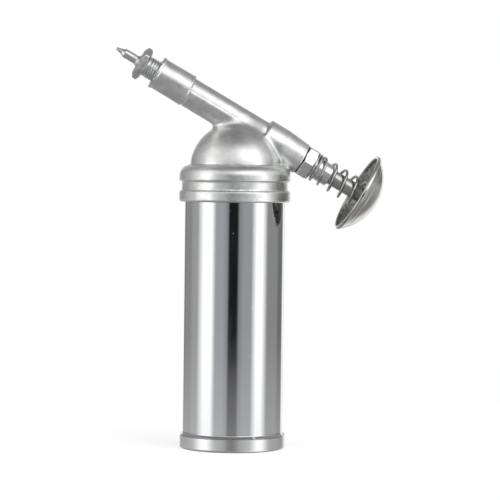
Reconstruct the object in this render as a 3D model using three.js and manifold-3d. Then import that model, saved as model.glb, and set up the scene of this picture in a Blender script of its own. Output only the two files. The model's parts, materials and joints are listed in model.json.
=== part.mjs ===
// A small push-type grease gun. A steel barrel holds the grease over a spring-loaded follower, and a die-cast
// head screws on top. The head carries the pump: a plunger with a domed palm button, a return spring, a ball
// check valve and a pointed nozzle, all on one axis that slopes down from the nozzle to the button.
//
// Millimetres, +Z up. The origin is the centre of the flat underside. The barrel stands on Z and the pump
// axis lies in the XZ plane, with the nozzle towards -X and the button towards +X.
import * as THREE from "three";
import { mergeVertices } from "three/addons/utils/BufferGeometryUtils.js";
import Module from "manifold-3d";

const wasm = await Module();
wasm.setup();

// ---- Clearances -------------------------------------------------------------------------------------------
const pressGap = 0.1; // between two pieces pressed or screwed together, on the radius
const seatGap = 0.1; // between two faces that bear on each other
const runGap = 0.2; // between two pieces that move past each other, on the radius

// ---- Barrel and bottom cap --------------------------------------------------------------------------------
const barrelDiameter = 40;
const barrelWall = 1;
const barrelLength = 106;
const screwThreadDepth = 0.5;
const screwThreadLength = 8.6;
const capFloor = 1;
const capWall = 1;
const capHeight = 5.4;
const capCornerRadius = 1.2;
const footFlareHeight = 0.9;
const ventHoleDiameter = 2.5;
const ventHoleOffset = 11;

const barrelRadius = barrelDiameter / 2;
const barrelBore = barrelRadius - barrelWall;
const threadRadius = barrelRadius - screwThreadDepth;
const capBore = barrelRadius + pressGap;
const capRadius = capBore + capWall;
const barrelFoot = capFloor + seatGap;
const barrelTop = barrelFoot + barrelLength;

// ---- Head casting -----------------------------------------------------------------------------------------
const collarWall = 1; // at the waist between the two beads
const collarBeadProud = 1;
const lowerBeadHeight = 4.3;
const waistHeight = 4;
const upperBeadHeight = 1.5; // the straight part under the rounded shoulder
const beadEdgeRadius = 0.8;
const skirtCounterbore = 1.5;
const shoulderWidth = 4.2;
const shoulderHeight = 3.4;
const domeWall = 2.5;
const domeRise = 3.4; // from the seat of the gasket to the centre of the dome
const gasketThickness = 1.2;
const gasketWidth = 2.1;

const collarEntry = barrelRadius + runGap;
const waistRadius = collarEntry + collarWall;
const collarRadius = waistRadius + collarBeadProud;
const collarBore = threadRadius + runGap;
const collarFoot = barrelTop - screwThreadLength - seatGap;
const gasketFoot = barrelTop + seatGap;
const gasketSeat = gasketFoot + gasketThickness + seatGap;
const domeRadius = collarRadius - shoulderWidth;
const domeCentre = gasketSeat + domeRise;

// ---- Pump axis --------------------------------------------------------------------------------------------
// Places along the axis are measured from the point nearest to the dome's centre, positive towards the button.
const pumpTilt = THREE.MathUtils.degToRad(30);
const pumpSink = 1.2; // how far the axis lies inside the top of the dome
const pumpOffset = domeRadius - pumpSink;

const plungerDiameter = 6.4;
const plungerStroke = 13;
const pistonProud = 0.8; // the piston's radius over the plunger's
const pistonLength = 5;
const pumpWall = 1.7;
const inletDiameter = 3.5;
const outletDiameter = 3.2;
const hexAcrossFlats = 12;
const hexChamfer = 0.9;

const plungerRadius = plungerDiameter / 2;
const pistonRadius = plungerRadius + pistonProud;
const pumpBore = pistonRadius + pressGap;
const tubeRadius = pumpBore + pumpWall;
const hexCorner = hexAcrossFlats / Math.sqrt(3);

// Gland nut, at the rear of the head: a hexagon with a threaded shank in front and a guide sleeve behind.
const glandHexThickness = 4.4;
const glandShankLength = 7.8;
const glandShankWall = 1.6;
const sleeveWall = 1;
const sleeveLength = 8.6;
const glandGasketThickness = 0.4;
const packingLength = 2.5;
const glandNutTurn = THREE.MathUtils.degToRad(-24);
const nutToCollar = 1; // the hexagon's lowest corner stays this far outside the collar
const bossFlare = 2.1; // how much fatter the boss is at its front than the wall round the gland thread
const bossRearWall = 1.3;
const bossLength = 18.2;
const bossStraight = 8.3;

const rodBore = plungerRadius + runGap;
const glandShank = rodBore + glandShankWall;
const glandBore = glandShank + pressGap;
const bossRearRadius = glandBore + bossRearWall;
const bossFrontRadius = glandBore + bossFlare + pressGap;
const bossRear =
  (collarRadius + nutToCollar + (hexCorner - pumpOffset) * Math.sin(pumpTilt)) / Math.cos(pumpTilt);
const bossFront = bossRear - bossLength;
const glandHexFront = bossRear + glandGasketThickness + seatGap;
const glandHexRear = glandHexFront + glandHexThickness;
const glandShankEnd = bossRear - glandShankLength;
const packingSeat = glandShankEnd - packingLength - 2 * seatGap;
const sleeveRadius = rodBore + sleeveWall;
const sleeveEnd = glandHexRear + sleeveLength;

// Piston at rest: it bears on the packing, and its nose has just uncovered the inlet.
const pistonRear = packingSeat - seatGap;
const pistonNose = pistonRear - pistonLength;
const inletPlace = pistonNose - inletDiameter / 2 - 4 * seatGap;
const boreEnd = pistonNose - plungerStroke - 4 * seatGap;

// Return spring, between a washer on the gland nut and the inside of the button.
const springWasherThickness = 0.6;
const springWire = 1.1;
const springSlack = 0.4; // from the sleeve to the inside of the spring
const springStart = THREE.MathUtils.degToRad(115); // where the wire's first end lies
const springActiveCoils = 4.95;
const springPitch = 5.1;
const springRadius = sleeveRadius + springSlack + springWire / 2;
const springFoot = glandHexRear + springWasherThickness + 2 * seatGap;
const springLength = springActiveCoils * springPitch + 2 * springWire;
const springTop = springFoot + springLength;

// Palm button, a thin dome with a rolled rim, and the hub that joins it to the plunger.
const buttonDiameter = 33.6;
const buttonHeight = 9.4;
const buttonWall = 1.2;
const buttonLip = 1.4;
const hubWall = 1;
const hubLength = 5;
const spigotReduction = 0.8;

const buttonRadius = buttonDiameter / 2;
const springOuter = springRadius + springWire / 2;
const buttonInside = sphereOver(buttonRadius - buttonWall, buttonHeight - buttonWall - buttonLip);
const springSag = buttonInside - Math.sqrt(buttonInside ** 2 - springOuter ** 2);
const buttonInnerTop = springTop + springSag + seatGap;
const buttonApex = buttonInnerTop + buttonWall;
const buttonRim = buttonApex - buttonHeight;
const spigotRadius = plungerRadius - spigotReduction;
const hubRadius = plungerRadius + hubWall;
const buttonDomeFoot = buttonRim + buttonLip;
const hubTop = buttonInnerTop - buttonInside + Math.sqrt(buttonInside ** 2 - hubRadius ** 2) - seatGap;
const hubFoot = hubTop - hubLength;

// Nozzle and check valve, at the front of the head.
const outletReach = 46.6;
const socketLength = 14.7;
const socketChamfer = 1;
const socketWall = 1.9;
const nozzleThreadDiameter = 9.2;
const nozzleThreadDepth = 6.4;
const nozzleThreadShown = 4.8;
const nozzleHexThickness = 3.5;
const nozzleStemDiameter = 3.6;
const nozzleStemLength = 6.6;
const nozzleTipLength = 3.5;
const nozzleTipDiameter = 1;
const nozzleStemBore = 1.6;
const nozzleTipBore = 0.6;
const nozzleMouthBore = 4;
const valveChamberLength = 10;
const valveBallDiameter = 5;
const valveBallLift = 0.9;
const valveWire = 0.5;
const valveCoils = 6;

const nozzleThread = nozzleThreadDiameter / 2;
const nozzleBore = nozzleThread + pressGap;
const socketRadius = nozzleBore + socketWall;
const headFront = -outletReach;
const nozzleInnerEnd = headFront + nozzleThreadDepth;
const valveSeat = nozzleInnerEnd + valveChamberLength;
const ballRadius = valveBallDiameter / 2;
const chamberBore = ballRadius + 3 * runGap;
const ballPlace = valveSeat - Math.sqrt(ballRadius ** 2 - (outletDiameter / 2) ** 2) - seatGap;
const valveSpringRadius = ballRadius - 2 * valveWire;

// ---- Follower, inside the barrel --------------------------------------------------------------------------
const followerTopGap = 1.6; // from the follower's lip to the mouth of the barrel, with the gun empty
const followerCupHeight = 8;
const followerCupFloor = 2.5;
const followerCupLip = 1.6;
const followerPlateThickness = 1.2;
const followerPlateInset = 3;
const followerRivetDiameter = 4;
const followerRivetHead = 2.4;
const followerRivetHeadHeight = 1.2;
const followerWire = 1.4;
const followerCoils = 8;
const followerSpringInset = 4;

const followerLip = barrelTop - followerTopGap;
const followerCupFoot = followerLip - followerCupHeight;
const followerPlateTop = followerCupFoot - seatGap;
const followerPlateFoot = followerPlateTop - followerPlateThickness;
const followerRivet = followerRivetDiameter / 2;

// The radius of the sphere whose cap has this radius and height.
function sphereOver(radius, height) {
  return (radius ** 2 + height ** 2) / (2 * height);
}

// ---- Facets -----------------------------------------------------------------------------------------------
const barrelFacets = 40;
const pumpFacets = 24;
const smallFacets = 12;

// ---- Shapes -----------------------------------------------------------------------------------------------
// A closed body turned about Z. The outline's points are [radius, height], anticlockwise.
function turned(outline, facets) {
  const points = outline.map(([radius, height]) => new THREE.Vector2(radius, height));
  return new THREE.LatheGeometry(points, facets).rotateX(Math.PI / 2);
}

// A ring of rectangular section about Z.
function ring(innerRadius, outerRadius, foot, top, facets) {
  const outline = [
    [innerRadius, foot],
    [outerRadius, foot],
    [outerRadius, top],
    [innerRadius, top],
    [innerRadius, foot],
  ];
  return turned(outline, facets);
}

// A solid cylinder about Z.
function rod(radius, foot, top, facets) {
  return turned([[0, foot], [radius, foot], [radius, top], [0, top]], facets);
}

// Points on an arc in the outline's plane, from one angle to another in degrees.
function arc(centreRadius, centreHeight, radius, from, to, steps) {
  return Array.from({ length: steps + 1 }, (_, i) => {
    const angle = THREE.MathUtils.degToRad(from + ((to - from) * i) / steps);
    return [centreRadius + radius * Math.cos(angle), centreHeight + radius * Math.sin(angle)];
  });
}

// A geometry as a manifold-3d solid, and a solid back as a geometry.
function solid(geometry) {
  const bare = new THREE.BufferGeometry().setAttribute("position", geometry.getAttribute("position"));
  bare.setIndex(geometry.index);
  const merged = mergeVertices(bare, 1e-4);
  const mesh = new wasm.Mesh({
    numProp: 3,
    vertProperties: merged.attributes.position.array,
    triVerts: new Uint32Array(merged.index.array),
  });
  return new wasm.Manifold(mesh);
}
function geometryOf(body) {
  const mesh = body.getMesh();
  return new THREE.BufferGeometry()
    .setAttribute("position", new THREE.BufferAttribute(mesh.vertProperties, 3))
    .setIndex(new THREE.BufferAttribute(mesh.triVerts, 1))
    .toNonIndexed();
}

// A hexagon head about Z with its corners chamfered at both ends.
function hexagon(acrossFlats, foot, top, chamfer) {
  const corner = acrossFlats / Math.sqrt(3);
  const outline = new THREE.Shape(
    Array.from({ length: 6 }, (_, i) => {
      const angle = (i * Math.PI) / 3;
      return new THREE.Vector2(corner * Math.cos(angle), corner * Math.sin(angle));
    }),
  );
  const prism = new THREE.ExtrudeGeometry(outline, { depth: top - foot, bevelEnabled: false });
  prism.translate(0, 0, foot);
  const rise = chamfer * Math.tan(Math.PI / 6);
  const turnedTo = [
    [0, foot],
    [corner - chamfer, foot],
    [corner, foot + rise],
    [corner, top - rise],
    [corner - chamfer, top],
    [0, top],
  ];
  return solid(prism).intersect(solid(turned(turnedTo, barrelFacets)));
}

// The centreline of a compression spring about Z with closed ends, rising from foot to top.
class SpringLine extends THREE.Curve {
  constructor(radius, foot, top, wire, activeCoils) {
    super();
    Object.assign(this, { radius, foot, top, wire, activeCoils });
  }
  getPoint(t, target = new THREE.Vector3()) {
    const { radius, foot, top, wire, activeCoils } = this;
    const turns = t * (activeCoils + 2);
    const low = foot + wire / 2;
    const high = top - wire / 2;
    const closed = wire * 1.04;
    let height;
    if (turns < 1) height = low + closed * turns;
    else if (turns > activeCoils + 1) height = high - closed * (activeCoils + 2 - turns);
    else height = low + closed + ((high - low - 2 * closed) * (turns - 1)) / activeCoils;
    const angle = 2 * Math.PI * turns;
    return target.set(radius * Math.cos(angle), radius * Math.sin(angle), height);
  }
}

// A right-hand compression spring of round wire.
function spring(radius, foot, top, wire, activeCoils, stepsPerTurn, sides) {
  const section = new THREE.Shape(
    Array.from({ length: sides }, (_, i) => {
      const angle = (2 * Math.PI * i) / sides;
      return new THREE.Vector2((wire / 2) * Math.cos(angle), (wire / 2) * Math.sin(angle));
    }),
  );
  return new THREE.ExtrudeGeometry(section, {
    steps: Math.round((activeCoils + 2) * stepsPerTurn),
    bevelEnabled: false,
    extrudePath: new SpringLine(radius, foot, top, wire, activeCoils),
  });
}

// ---- Materials --------------------------------------------------------------------------------------------
function metal(colour, roughness) {
  return new THREE.MeshStandardMaterial({ color: colour, roughness, metalness: 1 });
}
function rubber(colour) {
  return new THREE.MeshStandardMaterial({ color: colour, roughness: 0.7, metalness: 0 });
}
const chrome = metal(0xd9dadc, 0.08);
const castZinc = metal(0xb9bcbd, 0.4);
const zincPlate = metal(0xb4bcc0, 0.25);
const brightSteel = metal(0xa9a9a6, 0.15);
const springSteel = metal(0xa6a49c, 0.25);
const blackRubber = rubber(0x1c1c1c);
const fibre = rubber(0x3a2f2a);

// ---- Assembly ---------------------------------------------------------------------------------------------
const greaseGun = new THREE.Group();
const pump = new THREE.Group();
pump.position.set(pumpOffset * Math.sin(pumpTilt), 0, domeCentre + pumpOffset * Math.cos(pumpTilt));
pump.rotation.y = Math.PI / 2 + pumpTilt;
pump.updateMatrix();
greaseGun.add(pump);

function add(group, name, geometry, material) {
  const mesh = new THREE.Mesh(geometry, material);
  mesh.name = name;
  group.add(mesh);
  return mesh;
}

// Barrel: a thin steel tube, turned down at the top for its thread and flared where it meets the cap.
function barrelTube() {
  const flareRadius = capRadius - pressGap;
  const flareFoot = capHeight + seatGap;
  const flareTop = flareFoot + footFlareHeight;
  const outline = [
    [barrelBore, barrelFoot],
    [barrelRadius, barrelFoot],
    [barrelRadius, flareFoot],
    [flareRadius, flareFoot],
    [flareRadius - (flareRadius - barrelRadius) * 0.5, flareFoot + footFlareHeight * 0.3],
    [flareRadius - (flareRadius - barrelRadius) * 0.85, flareFoot + footFlareHeight * 0.65],
    [barrelRadius, flareTop],
    [barrelRadius, barrelTop - screwThreadLength],
    [threadRadius, barrelTop - screwThreadLength + screwThreadDepth],
    [threadRadius, barrelTop],
    [barrelBore, barrelTop],
    [barrelBore, barrelFoot],
  ];
  return turned(outline, barrelFacets);
}

// Bottom cap: a shallow pressed cup with a small vent hole beside its middle.
function bottomCap() {
  const outline = [
    [0, 0],
    ...arc(capRadius - capCornerRadius, capCornerRadius, capCornerRadius, -90, 0, 4),
    [capRadius, capHeight],
    [capBore, capHeight],
    [capBore, capFloor],
    [0, capFloor],
  ];
  const vent = rod(ventHoleDiameter / 2, -capFloor, 2 * capFloor, smallFacets);
  vent.translate(ventHoleOffset, 0, 0);
  return geometryOf(solid(turned(outline, barrelFacets)).subtract(solid(vent)));
}

add(greaseGun, "barrel_tube", barrelTube(), chrome);
add(greaseGun, "bottom_cap", bottomCap(), brightSteel);

// Follower: a rubber cup that wipes the barrel, riveted to the plate that the spring pushes on.
function followerCup() {
  const cupRadius = barrelBore - runGap;
  const floorTop = followerCupFoot + followerCupFloor;
  const outline = [
    [followerRivet + pressGap, followerCupFoot],
    [cupRadius - followerCupLip, followerCupFoot],
    [cupRadius, followerCupFoot + followerCupLip],
    [cupRadius, followerLip],
    [cupRadius - followerCupLip / 2, followerLip],
    [cupRadius - followerCupLip, floorTop + followerCupLip],
    [cupRadius - 2 * followerCupLip, floorTop],
    [followerRivet + pressGap, floorTop],
    [followerRivet + pressGap, followerCupFoot],
  ];
  return turned(outline, barrelFacets);
}
function followerRivetBody() {
  const headRadius = followerRivet + followerRivetHead;
  const cupTop = followerCupFoot + followerCupFloor + seatGap;
  const plateFoot = followerPlateFoot - seatGap;
  const outline = [
    [0, plateFoot - followerRivetHeadHeight],
    [headRadius * 0.7, plateFoot - followerRivetHeadHeight],
    [headRadius, plateFoot - followerRivetHeadHeight * 0.4],
    [headRadius, plateFoot],
    [followerRivet, plateFoot],
    [followerRivet, cupTop],
    [headRadius, cupTop],
    [headRadius, cupTop + followerRivetHeadHeight * 0.4],
    [headRadius * 0.7, cupTop + followerRivetHeadHeight],
    [0, cupTop + followerRivetHeadHeight],
  ];
  return turned(outline, pumpFacets);
}
const followerPlateRadius = barrelBore - followerPlateInset;
const followerSpringRadius = barrelBore - followerSpringInset - followerWire / 2;
add(
  greaseGun,
  "follower_plate",
  ring(followerRivet + pressGap, followerPlateRadius, followerPlateFoot, followerPlateTop, barrelFacets),
  brightSteel,
);
add(greaseGun, "follower_cup", followerCup(), blackRubber);
add(greaseGun, "follower_rivet", followerRivetBody(), brightSteel);
add(
  greaseGun,
  "follower_spring",
  spring(
    followerSpringRadius,
    capFloor + seatGap,
    followerPlateFoot - seatGap,
    followerWire,
    followerCoils,
    12,
    5,
  ),
  springSteel,
);

// Gasket: a flat ring between the barrel's mouth and its seat in the head.
const gasketOuter = threadRadius - runGap;
add(
  greaseGun,
  "barrel_gasket",
  ring(gasketOuter - gasketWidth, gasketOuter, gasketFoot, gasketFoot + gasketThickness, barrelFacets),
  blackRubber,
);

// Head: collar, dome and pump tube in one die-casting, hollowed for the grease and bored for the pump.
function headCasting() {
  const round = beadEdgeRadius;
  const waistFoot = collarFoot + lowerBeadHeight;
  const upperFoot = waistFoot + waistHeight;
  const shoulderFoot = upperFoot + round + upperBeadHeight;
  const collarOutline = [
    [0, collarFoot],
    ...arc(collarRadius - round, collarFoot + round, round, -90, 0, 2),
    ...arc(collarRadius - round, waistFoot - round, round, 0, 90, 2),
    [waistRadius, waistFoot],
    ...arc(collarRadius - round, upperFoot + round, round, -90, 0, 2),
    ...arc(0, 0, 1, 0, 90, 5).map(([across, rise]) => [
      domeRadius + across * shoulderWidth,
      shoulderFoot + rise * shoulderHeight,
    ]),
    [0, shoulderFoot + shoulderHeight],
  ];
  const dome = [
    [0, domeCentre - domeRise / 2],
    ...arc(0, domeCentre, domeRadius, 0, 90, 9).slice(0, -1),
    [0, domeCentre + domeRadius],
  ];
  const tube = [
    [0, headFront],
    [socketRadius, headFront],
    [socketRadius, headFront + socketLength - socketChamfer],
    [tubeRadius, headFront + socketLength],
    [tubeRadius, bossFront],
    [bossFrontRadius, bossFront + socketChamfer / 2],
    [bossFrontRadius, bossFront + bossStraight],
    [bossRearRadius, bossRear],
    [0, bossRear],
  ];
  const outside = solid(turned(collarOutline, barrelFacets))
    .add(solid(turned(dome, barrelFacets)))
    .add(solid(turned(tube, pumpFacets).applyMatrix4(pump.matrix)));

  // The grease space: the screwed skirt, then the dome's inside up to the wall that is left round the pump bore.
  const caveRadius = domeRadius - domeWall;
  const grease = [
    [0, collarFoot - skirtCounterbore],
    [collarEntry, collarFoot - skirtCounterbore],
    [collarEntry, collarFoot + skirtCounterbore],
    [collarBore, collarFoot + skirtCounterbore + screwThreadDepth],
    [collarBore, gasketSeat],
    [caveRadius, gasketSeat],
    ...arc(0, domeCentre, caveRadius, 0, 90, 6).slice(0, -1),
    [0, domeCentre + caveRadius],
  ];
  const pumpCore = rod(tubeRadius + pistonProud / 2, -outletReach, bossRear, pumpFacets);
  const cavity = solid(turned(grease, barrelFacets)).subtract(solid(pumpCore.applyMatrix4(pump.matrix)));

  // The bores along the pump axis, from the nozzle's thread to the gland's.
  const outlet = outletDiameter / 2;
  const bores = [
    [0, headFront - socketChamfer],
    [nozzleBore + 1.5 * socketChamfer, headFront - socketChamfer],
    [nozzleBore, headFront + socketChamfer / 2],
    [nozzleBore, nozzleInnerEnd + seatGap],
    [chamberBore, nozzleInnerEnd + seatGap],
    [chamberBore, valveSeat],
    [outlet, valveSeat],
    [outlet, boreEnd],
    [pumpBore, boreEnd],
    [pumpBore, packingSeat],
    [glandBore, packingSeat],
    [glandBore, bossRear + socketChamfer],
    [0, bossRear + socketChamfer],
  ];
  const inlet = rod(inletDiameter / 2, 0, pumpOffset, smallFacets);
  inlet.rotateY(Math.PI / 2).translate(0, 0, inletPlace);
  return geometryOf(
    outside
      .subtract(cavity)
      .subtract(solid(turned(bores, pumpFacets).applyMatrix4(pump.matrix)))
      .subtract(solid(inlet.applyMatrix4(pump.matrix))),
  );
}
add(greaseGun, "head_casting", headCasting(), castZinc);

// Nozzle: a pointed mouthpiece with a hexagon and a threaded shank, drilled through.
function nozzle() {
  const hexRear = headFront - nozzleThreadShown;
  const hexFront = hexRear - nozzleHexThickness;
  const stemFront = hexFront - nozzleStemLength;
  const tip = stemFront - nozzleTipLength;
  const stem = nozzleStemDiameter / 2;
  const tipRadius = nozzleTipDiameter / 2;
  const shoulder = (stem + tipRadius) / 2;
  const outside = [
    [0, tip],
    [tipRadius, tip],
    [shoulder, stemFront - nozzleTipLength / 6],
    [stem, stemFront],
    [stem, hexFront - stem / 2],
    [1.5 * stem, hexFront],
    [1.5 * stem, hexFront + nozzleHexThickness / 2],
    [nozzleThread, hexFront + nozzleHexThickness / 2],
    [nozzleThread, nozzleInnerEnd - valveWire],
    [nozzleThread - valveWire, nozzleInnerEnd],
    [0, nozzleInnerEnd],
  ];
  const tipBore = nozzleTipBore / 2;
  const stemBore = nozzleStemBore / 2;
  const mouth = nozzleMouthBore / 2;
  const drilling = [
    [0, tip - seatGap],
    [tipBore, tip - seatGap],
    [tipBore, stemFront],
    [stemBore, stemFront + stemBore],
    [stemBore, hexRear],
    [mouth, hexRear + mouth],
    [mouth, nozzleInnerEnd + seatGap],
    [0, nozzleInnerEnd + seatGap],
  ];
  return geometryOf(
    solid(turned(outside, pumpFacets))
      .add(hexagon(hexAcrossFlats, hexFront, hexRear, hexChamfer))
      .subtract(solid(turned(drilling, smallFacets))),
  );
}
add(pump, "nozzle", nozzle(), brightSteel);

// Check valve: a ball held on its seat by a light spring that bears on the end of the nozzle.
const checkBall = new THREE.SphereGeometry(ballRadius, 16, 10).translate(0, 0, ballPlace);
const ballContact = ballPlace - Math.sqrt(ballRadius ** 2 - valveSpringRadius ** 2);
add(pump, "check_ball", checkBall, brightSteel);
add(
  pump,
  "valve_spring",
  spring(
    valveSpringRadius,
    nozzleInnerEnd + seatGap,
    ballContact - valveWire / 2,
    valveWire,
    valveCoils - 2,
    10,
    5,
  ),
  springSteel,
);

// Gland: packing round the plunger, a sealing ring under the hexagon, and the nut with its guide sleeve.
function glandNut() {
  const outside = [
    [0, glandShankEnd],
    [glandShank - beadEdgeRadius / 2, glandShankEnd],
    [glandShank, glandShankEnd + beadEdgeRadius / 2],
    [glandShank, glandHexFront + glandHexThickness / 2],
    [sleeveRadius, glandHexFront + glandHexThickness / 2],
    [sleeveRadius, sleeveEnd - beadEdgeRadius / 2],
    [sleeveRadius - beadEdgeRadius / 2, sleeveEnd],
    [0, sleeveEnd],
  ];
  const bore = rod(rodBore, glandShankEnd - seatGap, sleeveEnd + seatGap, pumpFacets);
  return geometryOf(
    solid(turned(outside, pumpFacets))
      .add(hexagon(hexAcrossFlats, glandHexFront, glandHexRear, hexChamfer))
      .subtract(solid(bore)),
  );
}
const hexFlatRadius = hexAcrossFlats / 2;
add(
  pump,
  "rod_packing",
  ring(rodBore, glandBore - pressGap, packingSeat + seatGap, glandShankEnd - seatGap, pumpFacets),
  fibre,
);
add(
  pump,
  "gland_gasket",
  ring(glandBore, hexFlatRadius, bossRear + seatGap / 2, glandHexFront - seatGap / 2, pumpFacets),
  blackRubber,
);
add(pump, "gland_nut", glandNut(), zincPlate).rotation.z = glandNutTurn;

// Return spring and the washer that it stands on.
add(
  pump,
  "spring_washer",
  ring(
    sleeveRadius + pressGap,
    hexFlatRadius,
    glandHexRear + seatGap,
    glandHexRear + seatGap + springWasherThickness,
    pumpFacets,
  ),
  springSteel,
);
add(
  pump,
  "return_spring",
  spring(springRadius, springFoot, springTop, springWire, springActiveCoils, 12, 6),
  springSteel,
).rotation.z = springStart;

// Plunger: a polished rod with its piston at the front, grooved for a sealing ring, and a spigot at the rear.
const ringWire = pistonProud * 1.2;
const ringPlace = pistonRear - pistonLength / 2;
function plunger() {
  const grooveRadius = pistonRadius - ringWire;
  const grooveHalf = ringWire / 2 + seatGap;
  const outline = [
    [0, pistonNose],
    [pistonRadius - seatGap, pistonNose],
    [pistonRadius - seatGap, ringPlace - grooveHalf],
    [grooveRadius, ringPlace - grooveHalf],
    [grooveRadius, ringPlace + grooveHalf],
    [pistonRadius - seatGap, ringPlace + grooveHalf],
    [pistonRadius - seatGap, pistonRear],
    [plungerRadius, pistonRear],
    [plungerRadius, hubFoot - seatGap],
    [spigotRadius, hubFoot - seatGap],
    [spigotRadius, hubTop - hubWall],
    [0, hubTop - hubWall],
  ];
  return turned(outline, pumpFacets);
}
function sealingRing() {
  const middle = pistonRadius - ringWire / 2;
  return new THREE.TorusGeometry(middle, ringWire / 2 - pressGap / 2, 8, pumpFacets).translate(0, 0, ringPlace);
}
add(pump, "plunger", plunger(), brightSteel);
add(pump, "piston_ring", sealingRing(), blackRubber);

// Palm button: a pressed dome of even wall whose rim is rolled, with a turned hub inside it.
function dome(radius, rimHeight, apexHeight, steps) {
  const sphere = sphereOver(radius, apexHeight - rimHeight);
  const reach = THREE.MathUtils.radToDeg(Math.asin(radius / sphere));
  return arc(0, apexHeight - sphere, sphere, 90 - reach, 90, steps).slice(0, -1);
}
function pushButton() {
  const inside = dome(buttonRadius - buttonWall, buttonDomeFoot, buttonInnerTop, 7).reverse();
  const outline = [
    ...dome(buttonRadius, buttonDomeFoot, buttonApex, 7),
    [0, buttonApex],
    [0, buttonInnerTop],
    ...inside,
    [buttonRadius - buttonWall, buttonRim],
    [buttonRadius, buttonRim],
    [buttonRadius, buttonDomeFoot],
  ];
  return turned(outline, barrelFacets);
}
function buttonHub() {
  const outline = [
    [spigotRadius + pressGap, hubFoot],
    [hubRadius, hubFoot],
    [hubRadius, hubTop],
    [0, hubTop],
    [0, hubTop - hubWall + seatGap],
    [spigotRadius + pressGap, hubTop - hubWall + seatGap],
    [spigotRadius + pressGap, hubFoot],
  ];
  return turned(outline, pumpFacets);
}
add(pump, "push_button", pushButton(), chrome);
add(pump, "button_hub", buttonHub(), brightSteel);

export default greaseGun;
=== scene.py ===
import json
import math

import bpy
import numpy as np
from mathutils import Matrix, Vector


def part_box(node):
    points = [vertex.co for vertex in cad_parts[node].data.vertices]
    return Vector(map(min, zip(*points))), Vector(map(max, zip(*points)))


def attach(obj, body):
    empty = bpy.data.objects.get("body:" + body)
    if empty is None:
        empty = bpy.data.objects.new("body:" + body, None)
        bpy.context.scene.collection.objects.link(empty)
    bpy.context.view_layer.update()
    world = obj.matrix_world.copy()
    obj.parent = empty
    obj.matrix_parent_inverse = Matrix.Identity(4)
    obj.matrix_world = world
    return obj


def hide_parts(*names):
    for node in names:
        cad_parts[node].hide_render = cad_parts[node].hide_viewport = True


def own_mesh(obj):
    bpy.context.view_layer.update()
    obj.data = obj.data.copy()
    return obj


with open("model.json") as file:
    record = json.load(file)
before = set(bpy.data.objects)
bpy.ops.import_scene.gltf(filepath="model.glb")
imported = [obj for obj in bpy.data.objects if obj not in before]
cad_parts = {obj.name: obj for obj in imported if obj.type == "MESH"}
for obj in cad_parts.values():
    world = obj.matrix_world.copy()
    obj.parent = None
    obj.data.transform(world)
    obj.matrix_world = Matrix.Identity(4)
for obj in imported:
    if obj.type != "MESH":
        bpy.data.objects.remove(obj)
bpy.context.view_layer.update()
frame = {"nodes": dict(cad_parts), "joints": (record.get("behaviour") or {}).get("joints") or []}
scene = bpy.context.scene
mm = 0.001

# ---- Camera ------------------------------------------------------------------
# A long lens at the height of the head, a little to the left of the gun and looking slightly down.
camera_azimuth = math.radians(-7)
camera_pitch = math.radians(1.8)
camera_roll = math.radians(0.68)
camera_distance = 950 * mm
width_in_view = 200 * mm
sensor_width = 36
aim_height = 79.3 * mm
aim_to_the_right = 6.35 * mm

looking = Vector(
    (
        -math.sin(camera_azimuth) * math.cos(camera_pitch),
        math.cos(camera_azimuth) * math.cos(camera_pitch),
        -math.sin(camera_pitch),
    )
)
to_the_right = Vector((math.cos(camera_azimuth), math.sin(camera_azimuth), 0))
aim = Vector((0, 0, aim_height)) + to_the_right * aim_to_the_right
camera = bpy.data.objects.new("camera", bpy.data.cameras.new("camera"))
camera.data.sensor_width = sensor_width
camera.data.lens = sensor_width * camera_distance / width_in_view
camera.matrix_world = (
    Matrix.Translation(aim - looking * camera_distance)
    @ looking.to_track_quat("-Z", "Y").to_matrix().to_4x4()
    @ Matrix.Rotation(camera_roll, 4, "Z")
)
scene.collection.objects.link(camera)
scene.camera = camera
scene.view_settings.view_transform = "Standard"


# ---- Studio ------------------------------------------------------------------
# A grey room with a low row of cards and soft boxes, a higher row that closes over it, and a dark slot
# where the camera stands: the chrome shows them as bright and dark stripes. The gun stands on a lit floor.
def add_node(tree, kind, inputs=(), **settings):
    """A new node with its settings made, and each input set to a value or joined to another node's output."""
    made = tree.nodes.new(kind)
    for setting, value in settings.items():
        setattr(made, setting, value)
    for socket, value in dict(inputs).items():
        if isinstance(value, bpy.types.NodeSocket):
            tree.links.new(value, made.inputs[socket])
        else:
            made.inputs[socket].default_value = value
    return made


def map_range(tree, value, low, high, to_low, to_high):
    """The value's way from low to high, as a way between two other numbers."""
    ends = {"Value": value, "From Min": low, "From Max": high, "To Min": to_low, "To Max": to_high}
    return add_node(tree, "ShaderNodeMapRange", ends).outputs["Result"]


def mix_colours(tree, share, first, second):
    """The first colour where the share is 0, and the second where it is 1."""
    ends = {"Factor": share, 6: first, 7: second}
    return add_node(tree, "ShaderNodeMix", ends, data_type="RGBA").outputs[2]


grey_tint = (1.0, 1.0, 1.0)
cool_tint = (0.97, 0.99, 1.04)
warm_tint = (1.0, 0.95, 0.96)
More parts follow.
